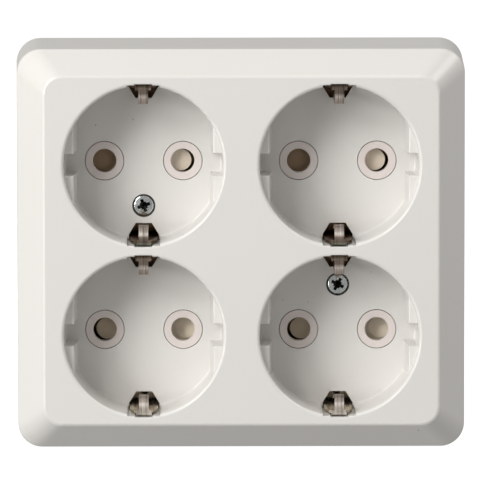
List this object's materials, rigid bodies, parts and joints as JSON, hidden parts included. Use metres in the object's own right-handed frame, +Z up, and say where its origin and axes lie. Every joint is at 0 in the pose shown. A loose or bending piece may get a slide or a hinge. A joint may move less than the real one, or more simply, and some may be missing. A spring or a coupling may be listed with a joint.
{
  "type": "quad wall socket",
  "caption": "Surface-mounted wall outlet: round recessed earthed sockets in two rows behind a bevelled cover, with sliding safety shutters and side earth contacts.",
  "frame": {"origin": "centre of the back face, in the wall plane", "axes": "+X to the right, +Y into the wall, +Z up; the front faces -Y"},
  "size_m": [0.11, 0.042, 0.0984],
  "materials": {
    "cover_plastic": "smooth warm white, semi-gloss",
    "housing_plastic": "smooth, faintly pinkish white",
    "shutter_plastic": "matt beige",
    "base_plastic": "matt dark brown-grey",
    "nickel_strip": "nickel-plated spring strip",
    "spring_steel": "drawn wire",
    "zinc_steel": "bright zinc plate",
    "brass": "bare brass"
  },
  "bodies": {
    "socket": {"base": "base_plastic", "contact_rivets": "brass", "cover": "cover_plastic", "cover_screws": "zinc_steel", "earth_link": "nickel_strip", "earth_rivets": "nickel_strip", "earth_stirrup_bl": "nickel_strip", "earth_stirrup_br": "nickel_strip", "earth_stirrup_tl": "nickel_strip", "earth_stirrup_tr": "nickel_strip", "live_bus_bar": "brass", "neutral_bus_bar": "brass", "pin_contact_bl_left": "brass", "pin_contact_bl_right": "brass", "pin_contact_br_left": "brass", "pin_contact_br_right": "brass", "pin_contact_tl_left": "brass", "pin_contact_tl_right": "brass", "pin_contact_tr_left": "brass", "pin_contact_tr_right": "brass", "screw_boss_br": "cover_plastic", "screw_boss_tl": "cover_plastic", "shutter_backplate_bl": "base_plastic", "shutter_backplate_br": "base_plastic", "shutter_backplate_tl": "base_plastic", "shutter_backplate_tr": "base_plastic", "shutter_housing_bl": "housing_plastic", "shutter_housing_br": "housing_plastic", "shutter_housing_tl": "housing_plastic", "shutter_housing_tr": "housing_plastic", "shutter_spring_bl": "spring_steel", "shutter_spring_br": "spring_steel", "shutter_spring_tl": "spring_steel", "shutter_spring_tr": "spring_steel", "terminal_earth": "nickel_strip", "terminal_live": "brass", "terminal_neutral": "brass", "terminal_screws": "zinc_steel", "well_bl": "cover_plastic", "well_br": "cover_plastic", "well_tl": "cover_plastic", "well_tr": "cover_plastic"},
    "slider_tl": {"shutter_tl": "shutter_plastic"},
    "slider_tr": {"shutter_tr": "shutter_plastic"},
    "slider_bl": {"shutter_bl": "shutter_plastic"},
    "slider_br": {"shutter_br": "shutter_plastic"}
  },
  "joints": [
    {"name": "shutter_tl_slide", "type": "slide", "parent": "socket", "child": "slider_tl", "axis": [-1, 0, 0], "range_m": [0, 0.0057], "stiffness_N_per_m": 60, "springref_m": -0.004, "deforming": ["shutter_spring_tl"]},
    {"name": "shutter_tr_slide", "type": "slide", "parent": "socket", "child": "slider_tr", "axis": [-1, 0, 0], "range_m": [0, 0.0057], "stiffness_N_per_m": 60, "springref_m": -0.004, "deforming": ["shutter_spring_tr"]},
    {"name": "shutter_bl_slide", "type": "slide", "parent": "socket", "child": "slider_bl", "axis": [1, 0, 0], "range_m": [0, 0.0057], "stiffness_N_per_m": 60, "springref_m": -0.004, "deforming": ["shutter_spring_bl"]},
    {"name": "shutter_br_slide", "type": "slide", "parent": "socket", "child": "slider_br", "axis": [1, 0, 0], "range_m": [0, 0.0057], "stiffness_N_per_m": 60, "springref_m": -0.004, "deforming": ["shutter_spring_br"]}
  ]
}
